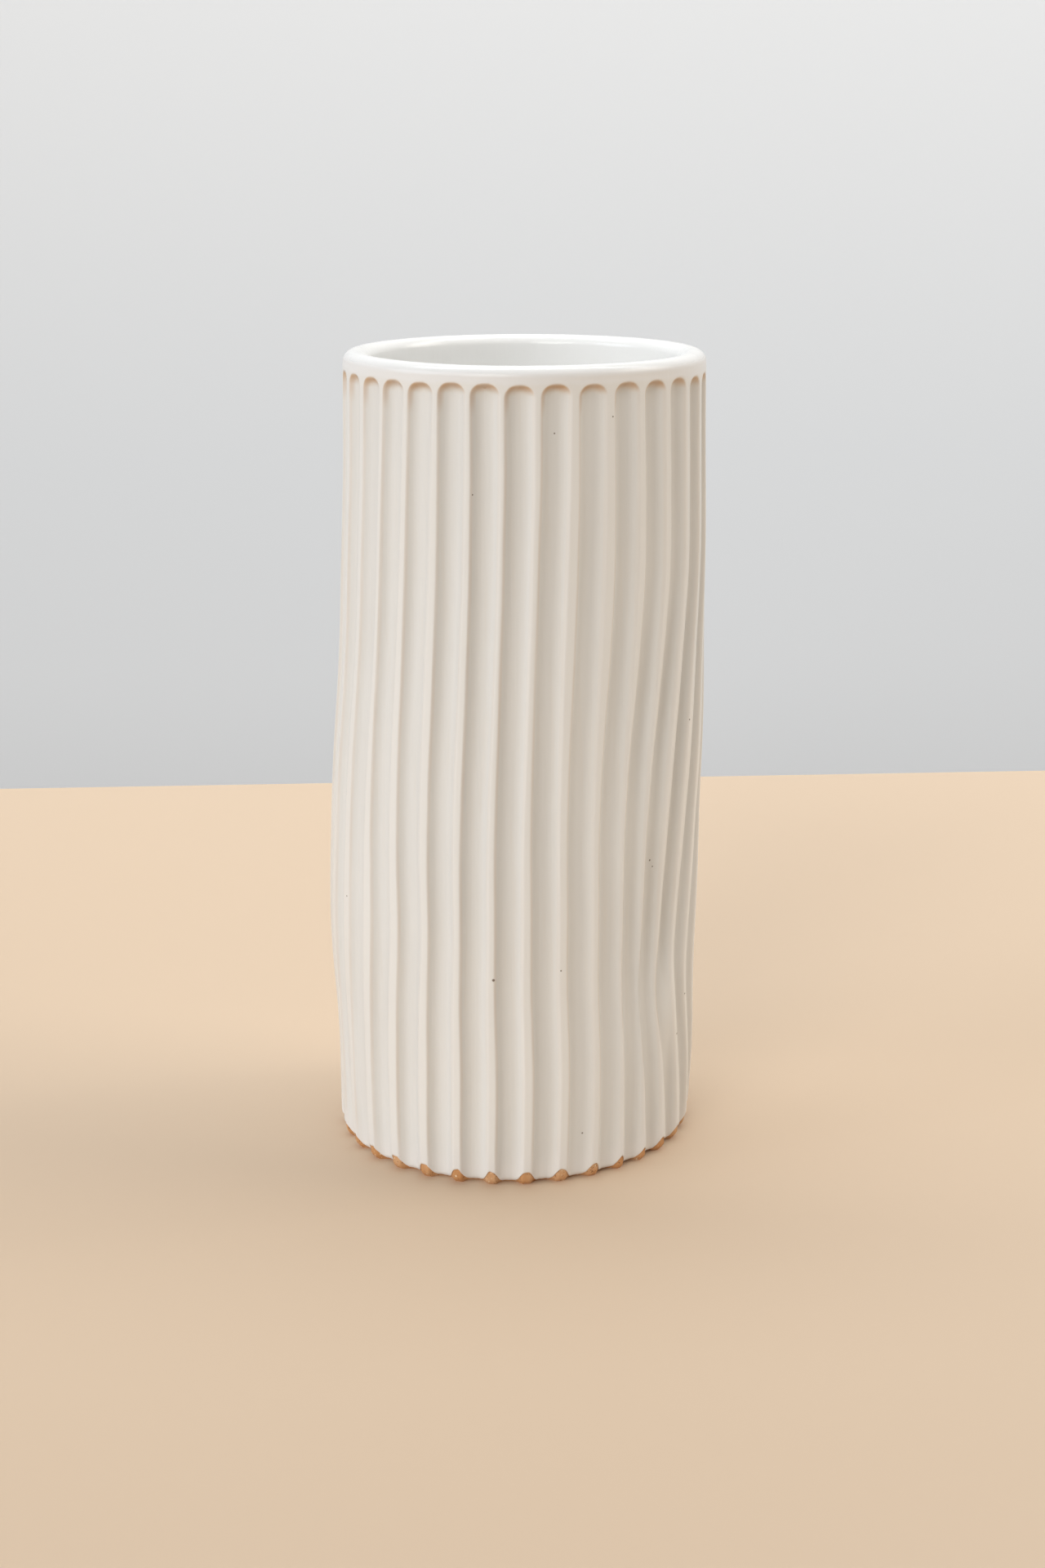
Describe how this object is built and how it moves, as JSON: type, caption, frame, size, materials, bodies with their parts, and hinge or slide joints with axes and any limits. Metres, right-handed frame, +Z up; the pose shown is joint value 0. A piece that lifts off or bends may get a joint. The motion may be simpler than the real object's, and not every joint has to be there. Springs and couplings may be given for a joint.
{
  "type": "fluted stoneware vase",
  "caption": "Tall cylinder vase in hand-carved fluted stoneware, open at the top, with a glazed outside and liner and a bare flat foot.",
  "frame": {"origin": "middle of the foot, on the face the vase stands on", "axes": "+Z up out of the mouth, -Y towards the front, +X to the right seen from the front, the way the vase leans a little"},
  "size_m": [0.1107, 0.1082, 0.2315],
  "materials": {
    "bare_clay": "unglazed, warm brown, slightly sandy",
    "satin_white_glaze": "satin creamy white, breaking to tan on the edges, with a few iron specks",
    "liner_glaze": "glossy greyish white"
  },
  "bodies": {
    "root": {"clay_wall": "bare_clay", "clay_floor": "bare_clay", "outer_glaze": "satin_white_glaze", "liner_glaze": "liner_glaze"}
  },
  "joints": []
}
